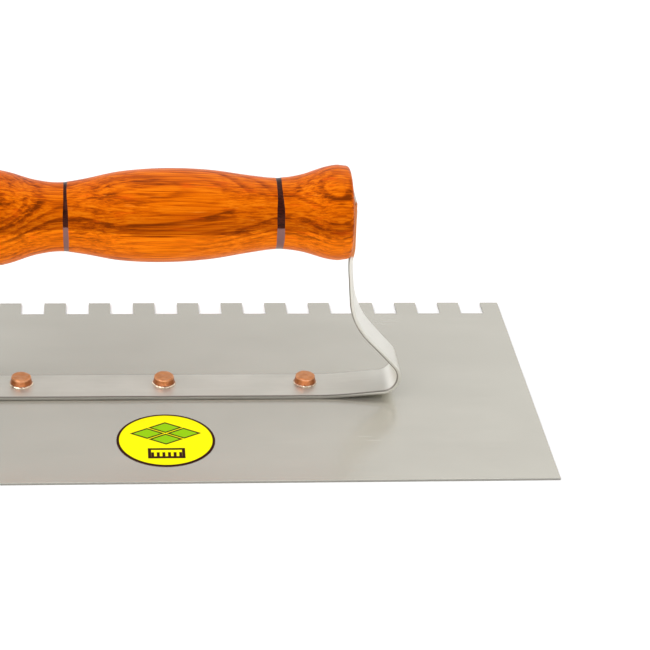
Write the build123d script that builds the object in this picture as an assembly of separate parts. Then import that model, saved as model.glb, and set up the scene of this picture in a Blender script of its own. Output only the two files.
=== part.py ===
"""Notched trowel: a flat steel blade with square notches along one long edge, a bent strap
riveted to it, and a turned wooden handle held between the strap's ends by a through rod.

Millimetres. +X runs along the blade, +Y towards the notched edge, +Z up. The origin is the
centre of the blade's underside.
"""
from build123d import *
from math import cos, radians, sin
import os

# Blade
blade_length = 250.0
blade_width = 120.0
blade_thickness = 0.8
notch_count = 15
notch_pitch = 16.0
notch_width = 8.2
notch_depth = 8.3
end_tooth = 6.5  # the tooth at the +X end, narrower than the others

# Strap: one flat strip bent up at both ends
strap_width = 15.2
strap_thickness = 1.4
strap_edge_radius = 0.45
strap_y = -2.0  # the strap's centre line, a little off the blade's
lift_x = 56.9  # where the strap starts to leave the blade
lift_radius = 113.0
heel_x, heel_rise = 76.5, 1.9  # lower corner of the end loop, above the strap's flat
heel_radius = 5.3
nose_x, nose_rise = 80.1, 8.2  # outer corner of the end loop
nose_radius = 6.2
waist_x, waist_rise = 62.7, 27.7  # where the strap turns upright
waist_radius = 27.0
tab_radius = 40.0
tab_foot = -17.0  # start of the flat tab, below the handle's axis
tab_top = 6.4  # the tab's end, above the handle's axis

# Rivets
rivet_spacing = 48.0
rivet_y = -0.4
rivet_shank_radius = 2.4
rivet_base_radius = 4.05
rivet_crown_radius = 3.4
rivet_head_height = 2.6
rivet_edge = 0.35  # chamfer round the crown
rivet_foot_radius = 3.2  # flush countersunk foot in the blade's underside

# Handle, turned about a line that rises slightly towards +X
handle_height = 65.8  # the axis above the blade's underside, at the middle
handle_tilt = 1.15
handle_half_length = 59.7
handle_end_radius = 13.2
handle_outline = [  # distance along the axis, radius
    (-57.6, 15.3),
    (-55.0, 15.5),
    (-50.2, 14.55),
    (-42.4, 12.15),
    (-34.6, 11.15),
    (-26.8, 12.15),
    (-15.1, 14.4),
    (-1.0, 15.25),
    (13.5, 14.55),
    (27.9, 12.4),
    (35.9, 11.55),
    (43.5, 12.5),
    (51.4, 14.9),
    (55.3, 15.55),
    (57.6, 15.3),
]

# Rod through the handle, peened over at both ends
rod_radius = 2.0
rod_clearance = 0.1
rod_head_radius = 3.5
rod_head_height = 1.0

# Round label on the blade, in front of the strap
label_radius = 16.0
label_thickness = 0.2
label_x, label_y = -0.4, -35.3

strap_z = blade_thickness + strap_thickness / 2
handle_frame = Location((0, strap_y, handle_height), (0, -handle_tilt, 0))


def make_blade():
    """Sheet with its underside at Z 0 and the notches cut into the +Y edge."""
    blade = Pos(0, 0, blade_thickness / 2) * Box(blade_length, blade_width, blade_thickness)
    first_x = blade_length / 2 - end_tooth - notch_width / 2
    cutter_length = 2 * notch_depth
    for i in range(notch_count):
        place = Pos(first_x - i * notch_pitch, blade_width / 2, blade_thickness / 2)
        blade -= place * Box(notch_width, cutter_length, 4 * blade_thickness)
    for x in rivet_places():
        blade -= make_rivet(x)
    return blade


def rivet_places():
    return [-rivet_spacing, 0, rivet_spacing]


def tab_point(side, height):
    """Point on the middle plane of a tab: side is -1 or 1, height is above the handle's axis."""
    along = side * (handle_half_length + strap_thickness / 2)
    lean = radians(handle_tilt)
    x = along * cos(lean) - height * sin(lean)
    z = handle_height + along * sin(lean) + height * cos(lean)
    return (x, strap_y, z)


def make_strap():
    """Rounded rectangle swept from the left tab down, along the blade and up to the right tab."""
    half = [(lift_x, 0), (heel_x, heel_rise), (nose_x, nose_rise), (waist_x, waist_rise)]
    left = [(-x, strap_y, strap_z + rise) for x, rise in reversed(half)]
    right = [(x, strap_y, strap_z + rise) for x, rise in half]
    corners = [tab_point(-1, tab_top), tab_point(-1, tab_foot), *left]
    corners += [*right, tab_point(1, tab_foot), tab_point(1, tab_top)]
    bends = [lift_radius, heel_radius, nose_radius, waist_radius, tab_radius]
    path = FilletPolyline(*corners, radius=[*reversed(bends), *bends])
    start = Plane(origin=path @ 0, x_dir=(0, 1, 0), z_dir=path % 0)
    section = start * RectangleRounded(strap_width, strap_thickness, strap_edge_radius)
    strap = sweep(section, path=path)
    for x in rivet_places():
        strap -= make_rivet(x)
    strap -= handle_frame * Rot(0, 90, 0) * Cylinder(rod_radius, 3 * handle_half_length)
    return strap


def make_rivet(x):
    """Copper rivet: flush countersunk foot, shank, and a head with slightly conical sides."""
    seat = blade_thickness + strap_thickness
    top = seat + rivet_head_height
    outline = [
        (0, 0),
        (rivet_foot_radius, 0),
        (rivet_shank_radius, blade_thickness),
        (rivet_shank_radius, seat),
        (rivet_base_radius, seat),
        (rivet_crown_radius + rivet_edge / 2, top - rivet_edge),
        (rivet_crown_radius - rivet_edge, top),
        (0, top),
    ]
    face = make_face(Plane.XZ * Polyline(*outline, close=True))
    return Pos(x, rivet_y, 0) * revolve(face, axis=Axis.Z)


def make_handle():
    """Turned wood: two flared ends and a belly, with two necks between them, and a bore."""
    end = handle_half_length
    side = Spline(*handle_outline)
    corner_right = Spline(
        side @ 1, (end, handle_end_radius), tangents=[side % 1, (0.25, -1)]
    )
    corner_left = Spline(
        (-end, handle_end_radius), side @ 0, tangents=[(0.25, 1), side % 0]
    )
    ends = Polyline((end, handle_end_radius), (end, 0), (-end, 0), (-end, handle_end_radius))
    face = make_face([*corner_left.edges(), *side.edges(), *corner_right.edges(), *ends.edges()])
    handle = revolve(face, axis=Axis.X)
    handle -= Rot(0, 90, 0) * Cylinder(rod_radius + rod_clearance, 3 * end)
    return handle_frame * handle


def make_rod():
    """Steel rod with a low domed head on the outside of each tab."""
    seat = handle_half_length + strap_thickness
    tip = seat + rod_head_height
    dome_radius = (rod_head_radius**2 + rod_head_height**2) / (2 * rod_head_height)
    right_dome = RadiusArc((tip, 0), (seat, rod_head_radius), -dome_radius)
    left_dome = RadiusArc((-seat, rod_head_radius), (-tip, 0), -dome_radius)
    steps = Polyline(
        (seat, rod_head_radius),
        (seat, rod_radius),
        (-seat, rod_radius),
        (-seat, rod_head_radius),
    )
    middle = Line((-tip, 0), (tip, 0))
    face = make_face([right_dome, *steps.edges(), left_dome, middle])
    return handle_frame * revolve(face, axis=Axis.X)


def make_label():
    place = Pos(label_x, label_y, blade_thickness + label_thickness / 2)
    return place * Cylinder(label_radius, label_thickness)


parts = {
    "blade": make_blade(),
    "strap": make_strap(),
    "rivet_left": make_rivet(-rivet_spacing),
    "rivet_middle": make_rivet(0),
    "rivet_right": make_rivet(rivet_spacing),
    "handle": make_handle(),
    "handle_rod": make_rod(),
    "label": make_label(),
}

os.makedirs("parts", exist_ok=True)
for name, part in parts.items():
    part.label = name
    export_step(part, f"parts/{name}.step")
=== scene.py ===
"""Looks of the notched trowel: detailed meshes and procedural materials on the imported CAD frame.

Metres, in the CAD model's own frame: +X along the blade, +Y towards the notched edge, +Z up.
"""

import bpy
from math import acos, cos, pi, radians, sin, sqrt, tan
from mathutils import Matrix, Vector, noise


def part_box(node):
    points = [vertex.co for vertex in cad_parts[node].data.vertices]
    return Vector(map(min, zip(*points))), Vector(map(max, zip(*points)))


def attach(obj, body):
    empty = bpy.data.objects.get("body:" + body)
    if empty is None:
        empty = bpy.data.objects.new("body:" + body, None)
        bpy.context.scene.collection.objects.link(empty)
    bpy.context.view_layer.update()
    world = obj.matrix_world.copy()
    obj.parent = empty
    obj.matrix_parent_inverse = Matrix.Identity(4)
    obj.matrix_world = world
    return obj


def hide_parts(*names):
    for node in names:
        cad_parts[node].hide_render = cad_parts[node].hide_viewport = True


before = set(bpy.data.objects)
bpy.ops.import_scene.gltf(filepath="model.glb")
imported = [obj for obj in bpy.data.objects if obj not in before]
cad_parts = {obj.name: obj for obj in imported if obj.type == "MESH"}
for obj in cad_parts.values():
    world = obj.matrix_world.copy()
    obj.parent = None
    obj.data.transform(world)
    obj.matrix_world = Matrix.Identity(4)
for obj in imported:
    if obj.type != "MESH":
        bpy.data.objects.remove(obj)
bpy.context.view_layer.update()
MM = 0.001

# ---------------------------------------------------------------- sizes, in metres
blade_low, blade_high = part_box("blade")
strap_low, strap_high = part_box("strap")
rivet_low, rivet_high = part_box("rivet_middle")
label_low, label_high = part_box("label")

BLADE_TOP = blade_high.z
NOTCHES = 15
NOTCH_PITCH, NOTCH_WIDTH, NOTCH_DEPTH = 16 * MM, 8.2 * MM, 8.3 * MM
END_TOOTH = 6.5 * MM
SHEET_EDGE = 0.06 * MM  # the sheared edges' tiny rounding
HOLE_GAP = 0.03 * MM  # between a rivet's foot and its hole

STRAP_WIDTH = strap_high.y - strap_low.y
STRAP_THICKNESS = 1.4 * MM
STRAP_Y = (strap_low.y + strap_high.y) / 2
STRAP_EDGE = 0.45 * MM
STRAP_Z = BLADE_TOP + STRAP_THICKNESS / 2
STRAP_TWIST = radians(6)  # of each upright, between the heights below
TWIST_STARTS, TWIST_ENDS = (16 * MM, 34 * MM), (52 * MM, 57.5 * MM)
STRAP_WAVE = 0.10 * MM  # unevenness of the strip's edges

RIVET_FOOT = 3.2 * MM
RIVET_SHANK = 2.4 * MM
RIVET_CROWN = 3.30 * MM
RIVET_WAIST = RIVET_CROWN + 0.34 * MM
RIVET_RIM = 0.36 * MM  # rounding of the crown's edge
RIVET_BURR = 0.62 * MM  # height of the burr above the strap
RIVET_BASE = (rivet_high.x - rivet_low.x) / 2

HANDLE_TILT = radians(1.15)
HANDLE_CENTRE = Vector((0, STRAP_Y, 65.8 * MM))
HANDLE_HALF = 59.7 * MM
ROD_RADIUS, ROD_HEAD, ROD_DOME = 2.0 * MM, 3.5 * MM, 1.0 * MM
BORE_RADIUS = ROD_RADIUS + 0.1 * MM

HOLE_SEGMENTS, ROD_SEGMENTS, RIVET_SEGMENTS = 48, 64, 96
LABEL_SEGMENTS, HANDLE_SEGMENTS = 128, 160


# ---------------------------------------------------------------- camera, floor and light
def make_camera():
    """Looks down at the blade's long side from a little to the left of its middle."""
    yaw, pitch, roll = radians(5.94), radians(28.37), radians(2.68)
    ahead = Vector((sin(yaw) * cos(pitch), cos(yaw) * cos(pitch), -sin(pitch)))
    level = Vector((cos(yaw), -sin(yaw), 0))
    upright = level.cross(ahead)
    right = cos(roll) * level + sin(roll) * upright
    up = cos(roll) * upright - sin(roll) * level
    data = bpy.data.cameras.new("camera")
    data.sensor_width = 36
    data.lens = 115.12
    data.shift_x = 0.06
    data.clip_start, data.clip_end = 0.01, 50
    camera = bpy.data.objects.new("camera", data)
    eye = (-22.9 * MM, -611.1 * MM, 355.9 * MM)
    turn = Matrix((right, up, -ahead)).transposed()
    camera.matrix_world = Matrix.Translation(eye) @ turn.to_4x4()
    bpy.context.scene.collection.objects.link(camera)
    bpy.context.scene.camera = camera


def area_light(name, place, target, size, power):
    """Soft lamp, size wide and high, that faces its target."""
    data = bpy.data.lights.new(name, "AREA")
    data.shape, (data.size, data.size_y) = "ELLIPSE", size
    data.energy = power
    light = bpy.data.objects.new(name, data)
    light.location = place
    light.rotation_euler = (Vector(target) - Vector(place)).to_track_quat("-Z", "Y").to_euler()
    bpy.context.scene.collection.objects.link(light)


WORLD_LEVELS = (  # height of a direction, from 0 at the horizon to 1 overhead, and brightness
    (0.00, 1.00), (0.18, 0.97), (0.36, 0.74), (0.49, 0.66), (0.58, 0.74), (0.74, 0.95),
    (1.00, 1.00),
)
DARK_PATCH = (0, -0.53, 0.85)  # its direction, up on the camera's side


def make_world():
    """White studio: bright at the horizon and overhead, a grey belt between them, brighter at
    the far left and to the right, with a dark patch above the camera's side."""
    world = bpy.data.worlds.new("studio")
    world.use_nodes = True
    tree = world.node_tree
    back = tree.nodes["Background"]
    where = tree.nodes.new("ShaderNodeTexCoord").outputs["Generated"]
    split = tree.nodes.new("ShaderNodeSeparateXYZ")
    tree.links.new(where, split.inputs[0])
    ramp = tree.nodes.new("ShaderNodeValToRGB")
    stops = ramp.color_ramp.elements
    for _ in WORLD_LEVELS[2:]:
        stops.new(0.5)
    for stop, (position, level) in zip(stops, WORLD_LEVELS):
        stop.position, stop.color = position, (level, level, level, 1)
    tree.links.new(split.outputs["Z"], ramp.inputs[0])

    def fade(value, low, high, to_low, to_high):
        """A smooth change from to_low to to_high while the value goes from low to high."""
        span = tree.nodes.new("ShaderNodeMapRange")
        span.interpolation_type = "SMOOTHSTEP"
        for name, number in (
            ("From Min", low), ("From Max", high), ("To Min", to_low), ("To Max", to_high)
        ):
            span.inputs[name].default_value = number
        tree.links.new(value, span.inputs["Value"])
        return span.outputs["Result"]

    def combine(operation, a, b):
        made = tree.nodes.new("ShaderNodeMath")
        made.operation = operation
        for socket, value in zip(made.inputs, (a, b)):
            if isinstance(value, bpy.types.NodeSocket):
                tree.links.new(value, socket)
            else:
                socket.default_value = value
        return made.outputs[0]

    toward = tree.nodes.new("ShaderNodeVectorMath")
    toward.operation = "DOT_PRODUCT"
    toward.inputs[1].default_value = DARK_PATCH
    tree.links.new(where, toward.inputs[0])
    rightward = fade(split.outputs["X"], 0.02, 0.26, 0.85, 1.19)
    leftward = fade(split.outputs["X"], -0.50, -0.20, 1.6, 1.0)
    shaded = fade(toward.outputs["Value"], 0.82, 0.97, 1.0, 0.25)
    level = combine("MULTIPLY", combine("MULTIPLY", rightward, leftward), shaded)
    # one even white at the horizon, so that the floor runs into it
    risen = fade(split.outputs["Z"], 0.03, 0.16, 0.0, 1.0)
    level = combine("ADD", 1.0, combine("MULTIPLY", combine("SUBTRACT", level, 1.0), risen))
    tree.links.new(ramp.outputs["Color"], back.inputs["Color"])
    tree.links.new(level, back.inputs["Strength"])
    bpy.context.scene.world = world


# ---------------------------------------------------------------- node graphs
class Graph:
    """A material's nodes, made by short calls. Every call returns an output socket."""

    def __init__(self, name):
        self.material = bpy.data.materials.new(name)
        self.material.use_nodes = True
        self.tree = self.material.node_tree
        self.shader = self.tree.nodes["Principled BSDF"]

    def node(self, kind, inputs=(), **settings):
        made = self.tree.nodes.new("ShaderNode" + kind)
        for name, value in settings.items():
            setattr(made, name, value)
        for name, value in dict(inputs).items():
            self.feed(made.inputs[name], value)
        return made

    def feed(self, socket, value):
        if isinstance(value, bpy.types.NodeSocket):
            self.tree.links.new(value, socket)
        elif isinstance(value, tuple) and len(value) == 3 and socket.type == "RGBA":
            socket.default_value = (*value, 1)
        else:
            socket.default_value = value

    def math(self, operation, a, b=0.0, c=0.0, clamp=False):
        made = self.node("Math", {0: a, 1: b, 2: c}, operation=operation, use_clamp=clamp)
        return made.outputs[0]

    def place(self, scale=(1, 1, 1), shift=(0, 0, 0), turn=(0, 0, 0), uv=False):
        """The point on the surface in millimetres, turned, stretched and shifted."""
        if uv:
            start = self.node("UVMap", uv_map="along").outputs[0]
        else:
            start = self.node("TexCoord").outputs["Object"]
        scale = tuple(1000 * s for s in scale)
        rotated = self.node("Mapping", {"Vector": start, "Rotation": turn}).outputs[0]
        return self.node(
            "Mapping", {"Vector": rotated, "Scale": scale, "Location": shift}
        ).outputs[0]

    def noise(self, vector, scale=1.0, detail=2.0, rough=0.5, warp=0.0):
        made = self.node(
            "TexNoise",
            {"Vector": vector, "Scale": scale, "Detail": detail, "Roughness": rough,
             "Distortion": warp},
        )
        return made.outputs["Fac"]

    def window(self, value, low, high, to_low=0.0, to_high=1.0):
        """A smooth change from to_low to to_high while the value goes from low to high."""
        made = self.node(
            "MapRange",
            {"Value": value, "From Min": low, "From Max": high,
             "To Min": to_low, "To Max": to_high},
            interpolation_type="SMOOTHSTEP",
        )
        return made.outputs["Result"]

    def mix(self, share, a, b, blend="MIX"):
        made = self.node("Mix", data_type="RGBA", blend_type=blend)
        for name, value in (("Factor_Float", share), ("A_Color", a), ("B_Color", b)):
            socket = next(s for s in made.inputs if s.identifier == name)
            self.feed(socket, value)
        return next(s for s in made.outputs if s.identifier == "Result_Color")

    def ramp(self, value, *stops):
        made = self.node("ValToRGB", {0: value})
        elements = made.color_ramp.elements
        while len(elements) < len(stops):
            elements.new(0.5)
        for element, (position, colour) in zip(elements, stops):
            element.position, element.color = position, (*colour, 1)
        return made.outputs["Color"]

    def bump(self, height, strength, distance, under=None):
        inputs = {"Height": height, "Strength": strength, "Distance": distance}
        if under is not None:
            inputs["Normal"] = under
        return self.node("Bump", inputs).outputs["Normal"]

    def finish(self, **sockets):
        for name, value in sockets.items():
            self.feed(self.shader.inputs[name.replace("_", " ")], value)
        return self.material


def grey(value):
    return (value, value, value)


# ---------------------------------------------------------------- materials
def sheet_steel():
    """Rolled steel: faint lengthwise brushing, soft cloudy tone and a few hair scratches."""
    g = Graph("sheet_steel")
    fine = g.noise(g.place((0.05, 4.0, 4.0)), detail=4, rough=0.65)
    broad = g.noise(g.place((0.010, 0.35, 0.35), (7, 3, 1)), detail=3, rough=0.6)
    cloud = g.noise(g.place((0.020, 0.035, 0.035), (2, 9, 4)), detail=4, rough=0.6)
    hair = g.noise(g.place((0.03, 3.4, 3.4), (1, 5, 2), (0, 0, 0.09)), detail=1)
    scratch = g.window(hair, 0.80, 0.88)
    tone = g.math("MULTIPLY_ADD", fine, 0.06, 0.31)
    tone = g.math("MULTIPLY_ADD", broad, 0.08, tone)
    tone = g.math("MULTIPLY_ADD", cloud, 0.24, tone)
    colour = g.ramp(tone, (0.25, (0.570, 0.548, 0.480)), (0.75, (0.705, 0.685, 0.612)))
    colour = g.mix(g.math("MULTIPLY", scratch, 0.25), colour, (0.80, 0.79, 0.74))
    dull = g.math("MULTIPLY_ADD", cloud, 0.12, g.math("MULTIPLY_ADD", fine, 0.06, 0.15))
    height = g.math("ADD", fine, g.math("MULTIPLY", scratch, -0.4))
    normal = g.bump(height, 0.02, 0.02 * MM)
    normal = g.bump(g.noise(g.place((0.02, 0.02, 0.02)), detail=1), 0.25, 1.0 * MM, normal)
    return g.finish(Base_Color=colour, Metallic=0.75, Roughness=dull, Normal=normal)


def cut_edge():
    """Sheared edge of the sheet: darker, with short upright marks."""
    g = Graph("cut_edge")
    marks = g.noise(g.place((3.0, 3.0, 0.4)), detail=3, rough=0.7)
    band = g.window(g.node("SeparateXYZ", {0: g.place()}).outputs["Z"], 0.25, 0.40)
    colour = g.ramp(marks, (0.3, (0.20, 0.19, 0.17)), (0.7, (0.38, 0.37, 0.33)))
    colour = g.mix(g.math("MULTIPLY", band, 0.5), colour, (0.42, 0.41, 0.37))
    dull = g.math("MULTIPLY_ADD", marks, 0.25, 0.30)
    return g.finish(
        Base_Color=colour, Metallic=1.0, Roughness=dull, Normal=g.bump(marks, 0.3, 0.05 * MM)
    )


def strip_steel():
    """Bright strip: brushing that follows its length round the bends, painted highlights in the
    bends, along the nearer edge and over the outer face, painted shade as a dark line along each
    inner corner and low on the sides where it meets the blade, and varnish on the edges of its
    tabs.

    The "along" map holds the length along the strip and the distance in from the middle of the
    nearer edge, which is negative on the outer side."""
    g = Graph("strip_steel")
    run, inward, _ = g.node("SeparateXYZ", {0: g.place(uv=True)}).outputs
    from_edge = g.math("ABSOLUTE", inward)
    _, across, height = g.node("SeparateXYZ", {0: g.place()}).outputs
    flat = g.node("CombineXYZ", {0: run, 1: across, 2: 0.0}).outputs[0]

    def brushed(scale, shift=(0, 0, 0)):
        return g.node("Mapping", {"Vector": flat, "Scale": scale, "Location": shift}).outputs[0]

    fine = g.noise(brushed((0.05, 5.0, 1)), detail=4, rough=0.65)
    broad = g.noise(brushed((0.03, 0.5, 1), (3, 2, 8)), detail=3, warp=0.3)
    cloud = g.noise(g.place((0.06, 0.10, 0.10), (5, 1, 2)), detail=3)
    dent = g.noise(g.place((0.10, 0.16, 0.16), (9, 4, 6)), detail=2)
    tone = g.math("MULTIPLY_ADD", fine, 0.14, g.math("MULTIPLY_ADD", broad, 0.20, 0.21))
    tone = g.math("MULTIPLY_ADD", cloud, 0.36, g.math("SUBTRACT", tone, 0.06))
    colour = g.ramp(tone, (0.25, (0.54, 0.518, 0.457)), (0.75, (0.70, 0.682, 0.622)))

    # painted highlights: lighter on the inner face in the bends, along the nearer edge and over
    # the outer face
    bent = g.math("MULTIPLY", g.window(height, 2.9, 4.6), g.window(height, 8.0, 14.0, 1.0, 0.0))
    bent = g.math("MULTIPLY", bent, g.window(inward, 1.0, 1.6, 0.0, 0.75))
    bent = g.math("MAXIMUM", bent, g.window(inward, 0.15, 0.45, 0.42, 0.0))
    colour = g.mix(bent, colour, (0.82, 0.81, 0.755))

    # painted shade: a dark line along the inner corner
    ragged = g.noise(brushed((0.12, 0.1, 1), (2, 2, 2)), detail=2)
    reach = g.math("MULTIPLY_ADD", ragged, 0.2, g.math("SUBTRACT", inward, 0.72))
    line = g.window(g.math("ABSOLUTE", reach), 0.18, 0.40, 1.0, 0.0)
    colour = g.mix(g.math("MULTIPLY", line, 0.80), colour, (0.13, 0.12, 0.105))

    # painted shade low on the sides, just above the blade where the strip meets it
    low = g.window(height, 1.9, 3.2, 0.6, 0.0)
    painted_contact_shade = g.math("MULTIPLY", g.window(from_edge, 0.8, 1.2, 1.0, 0.0), low)
    colour = g.mix(painted_contact_shade, colour, (0.17, 0.16, 0.14))

    # the handle's varnish, smeared over the tabs from about 53 mm up
    smear = g.noise(g.place((0.3, 0.3, 0.3), (4, 4, 4)), detail=3)
    edge = g.math("MULTIPLY_ADD", smear, 4.0, g.math("SUBTRACT", height, 2.0))
    sides = g.window(from_edge, 0.8, 2.8, 0.92, 0.08)
    varnish = g.math("MULTIPLY", g.window(edge, 53.2, 54.6), sides)
    colour = g.mix(varnish, colour, (0.55, 0.16, 0.02))
    dull = g.math("MULTIPLY_ADD", cloud, 0.12, g.math("MULTIPLY_ADD", fine, 0.10, 0.30))
    normal = g.bump(fine, 0.10, 0.02 * MM)
    normal = g.bump(dent, 0.42, 0.5 * MM, normal)
    return g.finish(Base_Color=colour, Metallic=0.8, Roughness=dull, Normal=normal)


def hammered_copper():
    """Copper with hammer marks and small pits, with painted shade round the head's side, a painted
    highlight on the rim of its top, and painted shade in the angle above its pale ragged burr."""
    burr_top, crown_edge = RIVET_BURR / MM, 2.42  # above the strap, in millimetres
    g = Graph("hammered_copper")
    mark = g.noise(g.place((1, 1, 1), (2, 8, 1)), scale=0.8, detail=2, rough=0.5)
    pit = g.noise(g.place((1, 1, 1), (4, 2, 7)), scale=3.2, detail=4, rough=0.65)
    cloud = g.noise(g.place((1, 1, 1), (1, 6, 3)), scale=0.5, detail=3)
    height = g.node("SeparateXYZ", {0: g.place()}).outputs["Z"]
    rise = g.math("SUBTRACT", height, 1000 * (BLADE_TOP + STRAP_THICKNESS))
    colour = g.ramp(cloud, (0.3, (0.60, 0.225, 0.080)), (0.7, (0.72, 0.325, 0.150)))
    colour = g.mix(g.math("MULTIPLY", g.window(pit, 0.55, 0.75), 0.4), colour, (0.50, 0.17, 0.06))
    head = g.window(rise, -0.6, -0.2)
    # painted shade round the head's side
    side = g.math("MULTIPLY", head, g.window(rise, 1.9, 2.3, 0.65, 0.0))
    colour = g.mix(side, colour, (0.34, 0.10, 0.035))
    # painted highlight on the rim of the crown's top
    from_lip = g.math("ABSOLUTE", g.math("SUBTRACT", rise, crown_edge))
    painted_rim_highlight = g.window(from_lip, 0.04, 0.20, 0.45, 0.0)
    colour = g.mix(painted_rim_highlight, colour, (0.90, 0.52, 0.34))
    # painted shade in the angle above the burr
    from_burr = g.math("ABSOLUTE", g.math("SUBTRACT", rise, burr_top))
    painted_crease_shade = g.window(from_burr, 0.05, 0.30, 0.75, 0.0)
    colour = g.mix(painted_crease_shade, colour, (0.30, 0.10, 0.04))
    burr = g.math("MULTIPLY", head, g.window(rise, 0.40, 0.58, 1.0, 0.0))
    bare = g.math("MULTIPLY", burr, g.window(pit, 0.32, 0.46))
    colour = g.mix(bare, colour, (0.95, 0.83, 0.66))
    soiled = g.math("MULTIPLY", burr, g.window(cloud, 0.50, 0.62))
    colour = g.mix(g.math("MULTIPLY", soiled, 0.7), colour, (0.22, 0.07, 0.04))
    dull = g.math("MULTIPLY_ADD", pit, 0.28, 0.20)
    normal = g.bump(mark, 0.45, 0.30 * MM)
    normal = g.bump(pit, 0.30, 0.08 * MM, normal)
    return g.finish(Base_Color=colour, Metallic=1.0, Roughness=dull, Normal=normal)


def rod_steel():
    """Dull peened steel with hammer marks."""
    g = Graph("rod_steel")
    mark = g.noise(g.place((1, 1, 1), (8, 3, 5)), scale=1.1, detail=3, rough=0.6)
    pit = g.noise(g.place(), scale=5.0, detail=3, rough=0.7)
    colour = g.ramp(mark, (0.3, (0.34, 0.33, 0.31)), (0.7, (0.62, 0.61, 0.58)))
    colour = g.mix(g.math("MULTIPLY", g.window(pit, 0.6, 0.75), 0.4), colour, (0.22, 0.15, 0.10))
    normal = g.bump(mark, 0.6, 0.3 * MM)
    normal = g.bump(pit, 0.3, 0.08 * MM, normal)
    dull = g.math("MULTIPLY_ADD", pit, 0.25, 0.28)
    return g.finish(Base_Color=colour, Metallic=1.0, Roughness=dull, Normal=normal)


NECK_RINGS = ((-32.4, 1.6), (36.3, 2.4))  # place along the handle and width, in millimetres


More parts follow.
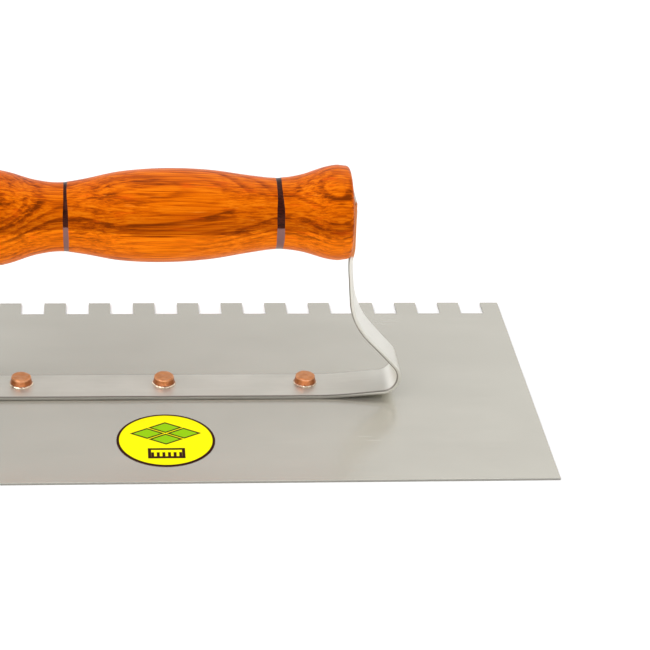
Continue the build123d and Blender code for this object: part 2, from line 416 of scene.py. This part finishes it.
def varnished_wood():
    """Turned hardwood cut along the grain: layers that run the handle's length, broken dark veins,
    fibres, pores, pale streaks and reddish patches, with painted shade above a ragged line at
    mid-height and painted light below it. Sizes are in millimetres from the handle's centre."""
    pith_behind, pith_below, pith_lean = 20.0, 36.0, 0.11
    layer_gap, bold_gap, bold_shift = 1.7, 4.2, 1.9
    band_height = 4.0  # where the boldest veins are fewest
    g = Graph("varnished_wood")
    centre = tuple(-1000 * c for c in HANDLE_CENTRE)
    base = g.node("Mapping", {"Vector": g.place(), "Location": centre}).outputs[0]
    wander = g.node(
        "TexNoise",
        {"Vector": g.node("Mapping", {"Vector": base, "Scale": (0.015, 0.06, 0.06)}).outputs[0],
         "Scale": 1.0, "Detail": 1.0},
    ).outputs["Color"]
    pull = g.node("VectorMath", {0: wander, 1: (0.5, 0.5, 0.5)}, operation="SUBTRACT").outputs[0]
    pull = g.node("VectorMath", {0: pull, 1: (0.0, 6.0, 6.0)}, operation="MULTIPLY").outputs[0]
    grain = g.node("VectorMath", {0: base, 1: pull}, operation="ADD").outputs[0]

    def along_grain(scale, shift=(0, 0, 0)):
        return g.node("Mapping", {"Vector": grain, "Scale": scale, "Location": shift}).outputs[0]

    # growth layers round a pith that lies behind and below the handle and leans across it
    x, y, z = g.node("SeparateXYZ", {0: grain}).outputs
    side = g.math("SUBTRACT", y, pith_behind)
    rise = g.math("MULTIPLY_ADD", x, -pith_lean, g.math("ADD", z, pith_below))
    distance = g.math("SQRT", g.math("MULTIPLY_ADD", side, side, g.math("MULTIPLY", rise, rise)))
    layer = g.math("FRACT", g.math("DIVIDE", distance, layer_gap))
    late = g.math("MULTIPLY", g.window(layer, 0.35, 0.80), g.window(layer, 0.85, 1.0, 1.0, 0.0))
    wide = g.math("FRACT", g.math("DIVIDE", g.math("ADD", distance, bold_shift), bold_gap))
    bold = g.math("MULTIPLY", g.window(wide, 0.50, 0.84), g.window(wide, 0.88, 1.0, 1.0, 0.0))

    # patches where the layers and the bold veins show
    patch = g.noise(along_grain((0.028, 0.12, 0.12), (5, 5, 1)), detail=3, rough=0.6)
    bold_patch = g.noise(along_grain((0.034, 0.14, 0.14), (1, 8, 4)), detail=3, rough=0.6)

    dash = g.noise(along_grain((0.024, 1.2, 1.2), (1, 2, 3)), detail=5, rough=0.64)
    hair = g.noise(along_grain((0.030, 2.2, 2.2), (6, 1, 8)), detail=4, rough=0.62)
    cloud = g.noise(along_grain((0.022, 0.22, 0.22), (2, 7, 4)), detail=4, rough=0.6)
    _, _, up = g.node("SeparateXYZ", {0: base}).outputs
    from_band = g.math("ABSOLUTE", g.math("SUBTRACT", up, band_height))
    bold_patch = g.math("ADD", bold_patch, g.window(from_band, 2.0, 10.0, 0.09, -0.06))
    pore = g.window(g.noise(along_grain((0.16, 3.4, 3.4), (9, 2, 6)), detail=1), 0.66, 0.74)

    # darkness, from fibres, clouds, layers, bold veins and pores
    dark = g.math("MULTIPLY", g.window(dash, 0.43, 0.62), 0.31)
    dark = g.math("MULTIPLY_ADD", g.window(hair, 0.43, 0.60), 0.32, dark)
    dark = g.math("MULTIPLY_ADD", g.window(cloud, 0.42, 0.70), 0.18, dark)
    vein = g.math("MULTIPLY", late, g.window(patch, 0.36, 0.62))
    dark = g.math("MULTIPLY_ADD", vein, 0.34, dark)
    strong = g.math("MULTIPLY", bold, g.window(bold_patch, 0.44, 0.58))
    strong = g.math("MULTIPLY", strong, g.window(dash, 0.30, 0.52))
    dark = g.math("MULTIPLY_ADD", strong, 0.50, dark)
    dark = g.math("MULTIPLY_ADD", pore, 0.16, dark)
    colour = g.ramp(
        dark,
        (0.04, (0.84, 0.200, 0.004)),
        (0.26, (0.72, 0.140, 0.001)),
        (0.50, (0.54, 0.090, 0.001)),
        (0.76, (0.33, 0.052, 0.001)),
        (1.00, (0.17, 0.026, 0.001)),
    )
    red = g.noise(along_grain((0.07, 0.35, 0.35), (3, 9, 1)), detail=3, rough=0.6)
    colour = g.mix(g.window(red, 0.56, 0.74, 0.0, 0.50), colour, (0.78, 0.090, 0.003))

    pale = g.noise(along_grain((0.05, 0.9, 0.9), (7, 3, 5)), detail=4, rough=0.65)
    colour = g.mix(g.window(pale, 0.62, 0.76, 0.0, 0.55), colour, (0.99, 0.33, 0.030))

    # painted shade above a ragged line at mid-height, painted light below it
    ragged = g.math("MULTIPLY_ADD", g.math("SUBTRACT", dash, 0.5), 5.0, up)
    painted_shade_above = g.window(ragged, -1.2, 0.6)
    colour = g.mix(g.window(ragged, -1.2, 0.6, 0.18, 0.0), colour, (1.0, 0.245, 0.006))
    tone = g.math("MULTIPLY", painted_shade_above, g.window(ragged, 0.5, 10.0, 0.48, 0.12))
    colour = g.mix(tone, colour, (0.16, 0.022, 0.0005))

    dull = g.math("MULTIPLY_ADD", hair, 0.20, g.math("MULTIPLY_ADD", pore, 0.15, 0.26))
    height = g.math("MULTIPLY_ADD", pore, -0.8, g.math("MULTIPLY", hair, 0.35))
    normal = g.bump(height, 0.20, 0.06 * MM)
    return g.finish(
        Base_Color=colour, Roughness=dull, Normal=normal, Specular_IOR_Level=0.10,
        Specular_Tint=(1.0, 0.26, 0.02),
    )


def burnt_ring():
    """The neck rings: charred by friction and nearly black, with a painted reflection of the floor
    in dull mauve on their lower part.
    """
    g = Graph("burnt_ring")
    char = g.noise(g.place((0.6, 2.5, 2.5), (4, 1, 6)), detail=4, rough=0.65)
    colour = g.ramp(char, (0.35, (0.006, 0.002, 0.0015)), (0.70, (0.060, 0.010, 0.005)))
    height = g.node("SeparateXYZ", {0: g.place()}).outputs["Z"]
    up = g.math("SUBTRACT", height, 1000 * HANDLE_CENTRE.z + 0.7)
    # painted reflection of the pale floor: dull mauve on the rings' lower part
    wear_and_painted_reflection = g.window(g.math("MULTIPLY_ADD", char, 1.2, up), 0.4, 1.0, 0.85, 0.0)
    colour = g.mix(wear_and_painted_reflection, colour, (0.24, 0.125, 0.12))
    dull = g.math("MULTIPLY_ADD", char, 0.25, 0.20)
    normal = g.bump(char, 0.25, 0.06 * MM)
    return g.finish(
        Base_Color=colour, Roughness=dull, Normal=normal, Specular_IOR_Level=0.15,
        Specular_Tint=(1.0, 0.5, 0.4),
    )


def printed_label():
    """Yellow film with a dark rim: four square tiles laid as one large diamond, above a dark
    block that shows a notched edge. Sizes are in millimetres."""
    soft = 0.10  # half the width of the print's soft edge
    rim_radius = 15.15
    half_long, half_high, tile_y = 12.0, 7.2, 4.0
    tile_half, outline_half = 0.42, 0.30  # share of the diamond, and half the dark outline
    block_y = -8.2
    tooth_gap, tooth_shift = 0.9, 9.0
    g = Graph("printed_label")
    middle = (label_low + label_high) / 2
    centred = g.node(
        "Mapping", {"Vector": g.place(), "Location": (-1000 * middle.x, -1000 * middle.y, 0)}
    ).outputs[0]
    x, y, _ = g.node("SeparateXYZ", {0: centred}).outputs
    away = g.math("SQRT", g.math("MULTIPLY_ADD", x, x, g.math("MULTIPLY", y, y)))

    def inside(distance):
        """1 where a signed distance is under 0."""
        return g.window(distance, -soft, soft, 1.0, 0.0)

    def off(value, centre, half):
        return g.math("SUBTRACT", g.math("ABSOLUTE", g.math("SUBTRACT", value, centre)), half)

    def block(centre_x, centre_y, half_x, half_y):
        return g.math("MAXIMUM", off(x, centre_x, half_x), off(y, centre_y, half_y))

    # four tiles laid as one large diamond
    steep = half_long * half_high / sqrt(half_long**2 + half_high**2)
    slant = g.math("DIVIDE", g.math("SUBTRACT", y, tile_y), half_high)
    level = g.math("DIVIDE", x, half_long)
    one = g.math("SUBTRACT", g.math("ABSOLUTE", g.math("ADD", level, slant)), 0.5)
    other = g.math("SUBTRACT", g.math("ABSOLUTE", g.math("SUBTRACT", level, slant)), 0.5)
    tile = g.math("MAXIMUM", g.math("ABSOLUTE", one), g.math("ABSOLUTE", other))
    tile = g.math("MULTIPLY", g.math("SUBTRACT", tile, tile_half), steep)
    outline = inside(g.math("SUBTRACT", g.math("ABSOLUTE", tile), outline_half))

    # dark block with a notched edge in it
    plate = inside(block(0, block_y, 6.0, 3.1))
    tooth = g.math("PINGPONG", g.math("ADD", x, tooth_shift), tooth_gap)
    teeth = g.math("MAXIMUM", g.math("SUBTRACT", tooth, 0.42), block(0, block_y - 0.6, 4.95, 1.2))
    comb = inside(g.math("MINIMUM", teeth, block(0, block_y + 1.3, 4.95, 0.7)))
    rim = g.window(away, rim_radius - soft, rim_radius + soft)
    dark = g.math("MAXIMUM", g.math("MAXIMUM", rim, outline), plate)
    dark = g.math("SUBTRACT", dark, comb, clamp=True)

    grain = g.noise(centred, scale=3.0, detail=3)
    wear_and_painted_reflection = g.noise(centred, scale=0.35, detail=3)
    yellow = g.mix(grain, (0.97, 0.92, 0.0), (1.0, 0.97, 0.001))
    colour = g.mix(inside(tile), yellow, g.mix(grain, (0.26, 0.58, 0.003), (0.32, 0.66, 0.005)))
    colour = g.mix(dark, colour, (0.035, 0.008, 0.005))
    dull = g.math("MULTIPLY_ADD", grain, 0.10, g.math("MULTIPLY_ADD", wear_and_painted_reflection, 0.15, 0.25))
    normal = g.bump(wear_and_painted_reflection, 0.10, 0.10 * MM)
    return g.finish(
        Base_Color=colour, Roughness=dull, Normal=normal, Specular_IOR_Level=0.04,
        Specular_Tint=(1.0, 0.95, 0.3),
    )


def pale_floor():
    g = Graph("pale_floor")
    tint = g.noise(g.place((0.01, 0.01, 0.01)), detail=2)
    colour = g.mix(tint, grey(0.955), grey(0.975))
    return g.finish(Base_Color=colour, Roughness=0.7, Specular_IOR_Level=0.2)


# ---------------------------------------------------------------- mesh helpers
def add_mesh(name, points, faces, materials, smooth=True, indices=None):
    mesh = bpy.data.meshes.new(name)
    mesh.from_pydata([tuple(p) for p in points], [], faces)
    for material in materials:
        mesh.materials.append(material)
    for i, face in enumerate(mesh.polygons):
        face.use_smooth = smooth
        if indices:
            face.material_index = indices[i]
    mesh.validate()
    mesh.update()
    made = bpy.data.objects.new(name, mesh)
    bpy.context.scene.collection.objects.link(made)
    return made


def turned(name, outline, segments, material, place=None, shape=None):
    """Solid of revolution about Z. outline is (radius, height) pairs that start and end on the
    axis, and shape(radius, height, angle) may move a point."""
    points, rings = [], []
    for radius, height in outline:
        count = segments if radius > 0 else 1
        ring = []
        for k in range(count):
            angle = 2 * pi * k / segments
            r, h = shape(radius, height, angle) if shape else (radius, height)
            ring.append(len(points))
            points.append(Vector((r * cos(angle), r * sin(angle), h)))
        rings.append(ring)
    faces = []
    for a, b in zip(rings, rings[1:]):
        for k in range(segments):
            n = (k + 1) % segments
            if len(a) == 1:
                faces.append((a[0], b[n], b[k]))
            elif len(b) == 1:
                faces.append((a[k], a[n], b[0]))
            else:
                faces.append((a[k], a[n], b[n], b[k]))
    if place:
        points = [place @ p for p in points]
    return add_mesh(name, points, faces, [material])


def rounded(corners, radii, steps=6):
    """Points of a flat polyline with its inner corners rounded. radii has one per corner."""
    points = [Vector(corners[0])]
    for before, corner, after, radius in zip(corners, corners[1:], corners[2:], radii):
        corner = Vector(corner)
        back = (Vector(before) - corner).normalized()
        on = (Vector(after) - corner).normalized()
        half = acos(max(-1, min(1, back.dot(on)))) / 2
        centre = corner + (back + on).normalized() * (radius / sin(half))
        start = corner + back * (radius / tan(half))
        end = corner + on * (radius / tan(half))
        sweep = pi - 2 * half
        count = max(2, round(steps * max(1, sweep / 0.35)))
        for k in range(count + 1):
            t = k / count
            u, v = start - centre, end - centre
            blend = (sin((1 - t) * sweep) * u + sin(t * sweep) * v) / sin(sweep)
            points.append(centre + blend)
    points.append(Vector(corners[-1]))
    return points


def spread(points, gap):
    """The same path with points no further apart than gap, and the length along it at each."""
    out, lengths = [points[0]], [0.0]
    for a, b in zip(points, points[1:]):
        span = (b - a).length
        count = max(1, round(span / gap))
        for k in range(1, count + 1):
            out.append(a.lerp(b, k / count))
            lengths.append(lengths[-1] + span / count)
    return out, lengths


def settle(piece, replaced):
    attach(piece, "root")
    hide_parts(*replaced)
    return piece


# ---------------------------------------------------------------- pieces
def make_blade():
    """The sheet with its notches and rivet holes, as a flat curve that is given a thickness."""
    data = bpy.data.curves.new("blade_outline", "CURVE")
    data.dimensions, data.fill_mode = "2D", "BOTH"
    data.extrude = (blade_high.z - blade_low.z) / 2 - SHEET_EDGE
    data.bevel_depth, data.bevel_resolution = SHEET_EDGE, 1
    inset = SHEET_EDGE
    left, right = blade_low.x + inset, blade_high.x - inset
    near, far = blade_low.y + inset, blade_high.y - inset
    outline = [(left, near), (right, near), (right, far)]
    for i in range(NOTCHES):
        high = blade_high.x - END_TOOTH - i * NOTCH_PITCH + inset
        low = high - NOTCH_WIDTH - 2 * inset
        bottom = blade_high.y - NOTCH_DEPTH - inset
        outline += [(high, far), (high, bottom), (low, bottom), (low, far)]
    outline.append((left, far))

    def loop(points):
        spline = data.splines.new("POLY")
        spline.points.add(len(points) - 1)
        for point, (px, py) in zip(spline.points, points):
            point.co = (px, py, 0, 1)
        spline.use_cyclic_u = True

    loop(outline)
    for node in ("rivet_left", "rivet_middle", "rivet_right"):
        low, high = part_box(node)
        centre = (low + high) / 2
        reach = RIVET_FOOT + HOLE_GAP + inset
        angles = [2 * pi * k / HOLE_SEGMENTS for k in range(HOLE_SEGMENTS)]
        loop([(centre.x + reach * cos(a), centre.y + reach * sin(a)) for a in angles])
    flat = bpy.data.objects.new("blade_outline", data)
    bpy.context.scene.collection.objects.link(flat)
    bpy.context.view_layer.update()
    mesh = bpy.data.meshes.new_from_object(
        flat.evaluated_get(bpy.context.evaluated_depsgraph_get())
    )
    bpy.data.objects.remove(flat)
    mesh.name = "blade_sheet"
    mesh.transform(Matrix.Translation((0, 0, (blade_low.z + blade_high.z) / 2)))
    mesh.materials.clear()
    mesh.materials.append(sheet_steel())
    mesh.materials.append(cut_edge())
    for face in mesh.polygons:
        face.use_smooth = False
        face.material_index = 0 if abs(face.normal.z) > 0.9 else 1
    mesh.update()
    blade = bpy.data.objects.new("blade_sheet", mesh)
    bpy.context.scene.collection.objects.link(blade)
    return settle(blade, ["blade"])


def tab_point(side, height):
    """Point on the middle of a tab: side is -1 or 1, height is above the handle's axis."""
    along = side * (HANDLE_HALF + STRAP_THICKNESS / 2)
    x = along * cos(HANDLE_TILT) - height * sin(HANDLE_TILT)
    z = HANDLE_CENTRE.z + along * sin(HANDLE_TILT) + height * cos(HANDLE_TILT)
    return Vector((x, STRAP_Y, z))


def ease(value, low, high):
    """Smooth change from 0 to 1 while the value goes from low to high."""
    t = max(0.0, min(1.0, (value - low) / (high - low)))
    return t * t * (3 - 2 * t)


def strap_path():
    """The strip's middle line, from the left tab's top to the right one's, and the length along
    it at each point. Both halves are alike up to the tabs, which follow the handle's tilt."""
    tab_top, tab_foot = 6.4 * MM, -17 * MM
    lift, heel, nose, waist = ((56.9, 0), (76.5, 1.9), (80.1, 8.2), (62.7, 27.7))
    half = [(x * MM, STRAP_Z + rise * MM) for x, rise in (lift, heel, nose, waist)]
    left = [(-x, STRAP_Y, z) for x, z in reversed(half)]
    right = [(x, STRAP_Y, z) for x, z in half]
    corners = [tab_point(-1, tab_top), tab_point(-1, tab_foot), *left]
    corners += [*right, tab_point(1, tab_foot), tab_point(1, tab_top)]
    bends = [b * MM for b in (113, 5.3, 6.2, 27, 40)]
    return spread(rounded(corners, [*reversed(bends), *bends]), 1.0 * MM)


def strap_section():
    """Round the strip's section: (across, out, distance from the middle of the nearer edge,
    which is negative on the outer side)."""
    half_width, half_thick = STRAP_WIDTH / 2, STRAP_THICKNESS / 2
    side = half_thick - STRAP_EDGE
    arc = STRAP_EDGE * pi / 2
    inset = half_width - STRAP_EDGE
    support = 0.25 * MM
    quarter = [(half_width, 0, 0)]
    for k in range(6):
        angle = pi / 2 * k / 5
        w = inset + STRAP_EDGE * cos(angle)
        t = side + STRAP_EDGE * sin(angle)
        quarter.append((w, t, side + STRAP_EDGE * angle))
    quarter.append((inset - support, half_thick, side + arc + support))
    middle = (0, half_thick, side + arc + inset)
    upper = [*quarter, middle, *[(-w, t, d) for w, t, d in reversed(quarter)]]
    lower = [(w, -t, -d) for w, t, d in reversed(upper[1:-1])]
    return [*upper, *lower]


def make_strap():
    """The strip swept round its bends. Its uprights twist a little, as bent strip does."""
    path, lengths = strap_path()
    section = strap_section()
    points, faces = [], []
    count = len(section)
    for i, centre in enumerate(path):
        before, after = path[max(i - 1, 0)], path[min(i + 1, len(path) - 1)]
        along = (after - before).normalized()
        up, down = ease(centre.z, *TWIST_STARTS), ease(centre.z, *TWIST_ENDS)
        lean = STRAP_TWIST * up * (1 - down) * (-1 if centre.x > 0 else 1)
        across = Matrix.Rotation(lean, 3, "Z") @ Vector((0, 1, 0))
        across = (across - along * across.dot(along)).normalized()
        out = along.cross(across)
        wave = STRAP_WAVE * noise.noise(Vector((lengths[i] * 60, 3.1, 0.4)))
        for w, t, _ in section:
            points.append(centre + across * w + out * (t + wave * (2 * w / STRAP_WIDTH) ** 2))
    for i in range(len(path) - 1):
        for k in range(count):
            n = (k + 1) % count
            a, b = i * count, (i + 1) * count
            faces.append((a + k, a + n, b + n, b + k))
    last = (len(path) - 1) * count
    faces.append(tuple(reversed(range(count))))
    faces.append(tuple(last + k for k in range(count)))
    strap = add_mesh("bent_strap", points, faces, [strip_steel()])
    for face in strap.data.polygons[-2:]:
        face.use_smooth = False
    layer = strap.data.uv_layers.new(name="along")
    for loop, spot in zip(strap.data.loops, layer.data):
        station, k = divmod(loop.vertex_index, count)
        spot.uv = (lengths[station], section[k][2])
    return settle(strap, ["strap"])


def make_rivet(node, seed, material):
    """Rivet with a flush foot and a hammered head with a ragged burr round its base."""
    low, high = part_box(node)
    seat = BLADE_TOP + STRAP_THICKNESS
    top = high.z
    rim, waist = RIVET_RIM, RIVET_WAIST
    neck = seat + RIVET_BURR
    outline = [
        (0, 0), (RIVET_FOOT - 0.05 * MM, 0), (RIVET_FOOT, 0.05 * MM), (RIVET_SHANK, BLADE_TOP),
        (RIVET_SHANK, seat), (RIVET_BASE - 0.15 * MM, seat), (RIVET_BASE, seat + 0.10 * MM),
        (RIVET_BASE - 0.03 * MM, seat + 0.24 * MM), (RIVET_BASE - 0.16 * MM, seat + 0.38 * MM),
        (waist + 0.14 * MM, seat + 0.47 * MM), (waist + 0.03 * MM, neck),
    ]
    side = top - rim - neck
    for k in range(1, 6):
        outline.append((waist + (RIVET_CROWN - waist) * k / 6, neck + side * k / 6))
    for k in range(7):
        angle = radians(15 * k)
        outline.append((RIVET_CROWN - rim + rim * cos(angle), top - rim + rim * sin(angle)))
    outline += [((RIVET_CROWN - rim) * t, top) for t in (0.93, 0.8, 0.65, 0.5, 0.35, 0.18, 0)]

    def hammered(radius, height, angle):
        """Dents the head, and makes its burr ragged without going past its widest circle."""
        if height <= seat:
            return radius, height
        way = Vector((cos(angle), sin(angle), 0))
        rise = (height - seat) / MM
        rough = noise.noise(way * 1.1 + Vector((seed * 7.3, seed, rise * 0.4)))
        burr = noise.noise(way * 3.4 + Vector((seed, seed * 3.1, rise * 0.8)))
        at_base = 1 - ease(rise, 0.35, 0.65)
        shift = 0.07 * rough + at_base * (0.24 * burr - 0.04)
        if at_base > 0.5:
            shift = min(0.0, shift)
        here = Vector((radius * cos(angle), radius * sin(angle), 0)) / MM
        dip = noise.noise(here * 0.7 + Vector((0, seed * 5.0, 2.0)))
        tip = noise.noise(here * 0.25 + Vector((seed * 3.0, 1.0, 6.0)))
        on_top = ease(height, top - rim, top - 0.3 * rim)
        lift = on_top * (0.10 * dip + 0.16 * tip + 0.15) + 0.10 * at_base * max(0.0, burr)
        return radius + shift * min(1.0, radius / RIVET_SHANK) * MM, height + lift * MM

    place = Matrix.Translation(((low.x + high.x) / 2, (low.y + high.y) / 2, 0))
    rivet = turned(f"copper_{node}", outline, RIVET_SEGMENTS, material, place, hammered)
    return settle(rivet, [node])


HANDLE_OUTLINE = [  # distance along the axis and radius, in millimetres
    (-57.6, 15.3), (-55.0, 15.5), (-50.2, 14.55), (-42.4, 12.15), (-34.6, 11.15),
    (-26.8, 12.15), (-15.1, 14.4), (-1.0, 15.25), (13.5, 14.55), (27.9, 12.4),
    (35.9, 11.55), (43.5, 12.5), (51.4, 14.9), (55.3, 15.55), (57.6, 15.3),
]


def handle_radius(x):
    """Smooth curve through the outline's points."""
    table = HANDLE_OUTLINE
    last = len(table) - 2
    i = next((k for k in range(last) if x <= table[k + 1][0]), last)

    def slope(k):
        a, b = table[max(k - 1, 0)], table[min(k + 1, len(table) - 1)]
        return (b[1] - a[1]) / (b[0] - a[0])

    (x0, r0), (x1, r1) = table[i], table[i + 1]
    span = x1 - x0
    t = (x - x0) / span
    m0, m1 = slope(i) * span, slope(i + 1) * span
    return (
        (2 * t**3 - 3 * t**2 + 1) * r0 + (t**3 - 2 * t**2 + t) * m0
        + (3 * t**2 - 2 * t**3) * r1 + (t**3 - t**2) * m1
    )


def handle_place():
    """Puts a shape turned about Z onto the handle's axis."""
    tilt = Matrix.Rotation(-HANDLE_TILT, 4, "Y") @ Matrix.Rotation(pi / 2, 4, "Y")
    return Matrix.Translation(HANDLE_CENTRE) @ tilt


def make_handle():
    """Turned wood with rounded ends and a bore, and two burnt rings as bands of its surface."""
    half, bore = HANDLE_HALF / MM, BORE_RADIUS / MM
    mouth = 0.15  # chamfer of the bore
    face_radius, shoulder = 13.1, 57.6  # of the flat end, and where the rounding starts
    fullness = 0.8  # 1 makes the rounding an ellipse, less makes it squarer
    face_steps, turn_steps, steps = 8, 14, 240

    def end_profile(sign):
        """From the bore's mouth out over the end's rounded corner, as (radius, distance)."""
        reach = face_radius - bore - mouth
        flat = [(bore + mouth + reach * k / face_steps, half) for k in range(face_steps + 1)]
        r1 = handle_radius(sign * shoulder)
        turn = []
        for k in range(1, turn_steps):
            angle = radians(90 * k / turn_steps)
            r = face_radius + (r1 - face_radius) * sin(angle) ** fullness
            turn.append((r, shoulder + (half - shoulder) * cos(angle) ** fullness))
        return [(bore, half - mouth), *flat, *turn]

    stations = [-shoulder + 2 * shoulder * k / steps for k in range(steps + 1)]
    for middle, width in NECK_RINGS:
        edges = (middle - width / 2, middle + width / 2)
        stations = [x for x in stations if all(abs(x - e) > 0.2 for e in edges)]
        stations += [e + d for e in edges for d in (-0.06, 0.0, 0.06)]
    outline = [(r, -d) for r, d in end_profile(-1)]
    outline += [(handle_radius(x), x) for x in sorted(stations)]
    outline += reversed(end_profile(1))
    outline = [(r * MM, x * MM) for r, x in outline]
    outline.append(outline[0])
    inner = 6 * MM  # the bore and the faces' middles stay true

    def uneven(radius, height, angle):
        """Hand-turned: a little out of round, with rings that narrow at the top."""
        if radius < inner:
            return radius, height
        way = Vector((cos(angle) * 0.8, sin(angle) * 0.8, height / MM * 0.035))
        radius += 0.14 * MM * noise.noise(way + Vector((3.3, 1.1, 0)))
        x = height / MM
        for middle, width in NECK_RINGS:
            offset = abs(x - middle) / width
            near = 1 - ease(offset, 0.5, 1.5)
            if near > 0:
                narrow = 0.30 * ease(-cos(angle), 0.5, 1.0) * near
                wobble = noise.noise(Vector((cos(angle) * 2, sin(angle) * 2, 5 + (x > middle))))
                x += (middle - x) * narrow + 0.16 * wobble * near
                groove = 0.06 * (1 - ease(offset, 0.47, 0.53))
                radius -= groove * MM
        return radius, x * MM

    wood, place = varnished_wood(), handle_place()
    handle = turned("turned_handle", outline, HANDLE_SEGMENTS, wood, place, uneven)
    handle.data.materials.append(burnt_ring())
    heights = [x / MM for _, x in outline]
    for face in handle.data.polygons:
        ring = face.index // HANDLE_SEGMENTS
        x = (heights[ring] + heights[ring + 1]) / 2
        if any(abs(x - middle) < width / 2 for middle, width in NECK_RINGS):
            if outline[ring][0] > inner:
                face.material_index = 1
    return settle(handle, ["handle"])


def make_rod():
    """The rod through the handle, with a hammered dome outside each tab."""
    seat = HANDLE_HALF + STRAP_THICKNESS
    dome = []
    for k in range(9):
        angle = radians(90 * k / 8)
        dome.append((ROD_HEAD * sin(angle), seat + ROD_DOME * (0.12 + 0.88 * cos(angle))))
    right = [*dome, (ROD_HEAD - 0.1 * MM, seat), (ROD_RADIUS, seat)]
    outline = [*right, *[(r, -z) for r, z in reversed(right)]]
    outline.reverse()

    def hammered(radius, height, angle):
        """Dents the domes. The rod and the domes' poles stay where they are."""
        if radius == 0 or abs(height) <= seat:
            return radius, height
        here = Vector((radius * cos(angle), radius * sin(angle), height)) / MM
        dent = noise.noise(here * 0.6 + Vector((1, 2, 3)))
        return radius + 0.12 * MM * min(0.0, dent), height

    rod = turned("peened_rod", outline, ROD_SEGMENTS, rod_steel(), handle_place(), hammered)
    return settle(rod, ["handle_rod"])


def make_label():
    """Round film with a softly rounded edge, lying on the blade."""
    radius = (label_high.x - label_low.x) / 2
    thick = label_high.z - label_low.z
    edge = 0.4 * thick
    outline = [(0, 0), (radius, 0)]
    for k in range(5):
        angle = radians(22.5 * k)
        outline.append((radius - edge + edge * cos(angle), thick - edge + edge * sin(angle)))
    outline += [(radius - 3 * thick, thick), (radius / 2, thick), (0, thick)]
    middle = (label_low + label_high) / 2
    place = Matrix.Translation((middle.x, middle.y, label_low.z + 0.01 * MM))
    label = turned("round_label", outline, LABEL_SEGMENTS, printed_label(), place)
    return settle(label, ["label"])


def make_floor():
    """Plain pale floor, just under the blade."""
    reach = 8.0
    corners = [(-reach, -reach, 0), (reach, -reach, 0), (reach, reach, 0), (-reach, reach, 0)]
    floor = add_mesh("floor", corners, [(0, 1, 2, 3)], [pale_floor()], smooth=False)
    floor.location.z = -0.05 * MM


bpy.context.scene.view_settings.view_transform = "Standard"
make_camera()
make_world()
area_light("key", (-0.7, -0.5, 1.3), (0, 0, 0.03), (1.0, 1.0), 8)
area_light("top", (0.3, 0.5, 1.7), (0, 0, 0.03), (1.6, 1.6), 6)
area_light("low", (0, -1.1, 0.14), (0, 0, 0.05), (2.2, 0.36), 3)
make_floor()
make_blade()
make_strap()
copper = hammered_copper()
for number, node in enumerate(("rivet_left", "rivet_middle", "rivet_right")):
    make_rivet(node, number + 1, copper)
make_handle()
make_rod()
make_label()
